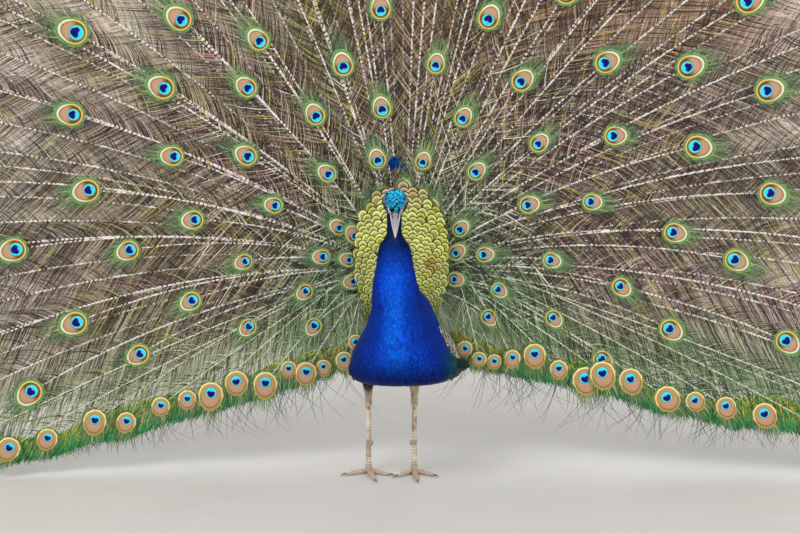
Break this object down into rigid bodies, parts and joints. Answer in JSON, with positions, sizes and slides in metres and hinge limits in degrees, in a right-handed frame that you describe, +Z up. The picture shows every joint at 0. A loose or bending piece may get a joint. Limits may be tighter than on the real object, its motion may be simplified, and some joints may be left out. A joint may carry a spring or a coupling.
{
  "type": "displaying peacock",
  "caption": "Life-size peacock standing on two feet with its blue breast to the front and its eyed train raised and spread in a wide fan behind it.",
  "frame": {"origin": "on the floor, under the middle of the whole bird's plan", "axes": "+Z up; the bird faces -Y, its left side is +X and the train spreads along X"},
  "size_m": [2.5467, 0.4824, 1.7187],
  "materials": {
    "skin_turquoise": "fine turquoise scale feathers with a metallic sheen",
    "neck_blue": "small overlapping cobalt-blue feathers with a metallic sheen",
    "shield_gold": "overlapping yellow-green scale feathers with dark rims",
    "train_bronze": "loose bronze and green barbs on pale shafts, with eyespots",
    "rump_down": "dull grey-brown down",
    "tail_brown": "matt grey-brown vanes",
    "wing_barred": "buff vanes barred with black",
    "wing_chestnut": "matt chestnut vanes",
    "thigh_buff": "short buff down",
    "leg_skin": "matt scutes",
    "bill_horn": "satin horn",
    "claw": "satin horn",
    "eye": "wet gloss"
  },
  "bodies": {
    "root": {"head": "skin_turquoise", "bill_upper": "bill_horn", "bill_lower": "bill_horn", "eye_left": "eye", "eye_right": "eye", "crest": "skin_turquoise", "neck_upper": "neck_blue", "neck_lower": "neck_blue", "breast": "neck_blue", "trunk": "neck_blue", "rump": "rump_down", "wing_left": "wing_barred", "wing_right": "wing_barred", "primaries_left": "wing_chestnut", "primaries_right": "wing_chestnut", "back_shield": "shield_gold", "claw_right_1": "claw", "claw_right_2": "claw", "claw_right_3": "claw", "claw_right_4": "claw", "foot_right": "leg_skin", "shank_right": "leg_skin", "spur_right": "claw", "thigh_right": "thigh_buff", "claw_left_1": "claw", "claw_left_2": "claw", "claw_left_3": "claw", "claw_left_4": "claw", "foot_left": "leg_skin", "shank_left": "leg_skin", "spur_left": "claw", "thigh_left": "thigh_buff", "train_01": "train_bronze", "train_02": "train_bronze", "train_03": "train_bronze", "train_04": "train_bronze", "train_05": "train_bronze", "train_06": "train_bronze", "train_07": "train_bronze", "train_08": "train_bronze", "train_09": "train_bronze", "train_10": "train_bronze", "train_11": "train_bronze", "train_12": "train_bronze", "tail": "tail_brown"}
  },
  "joints": []
}
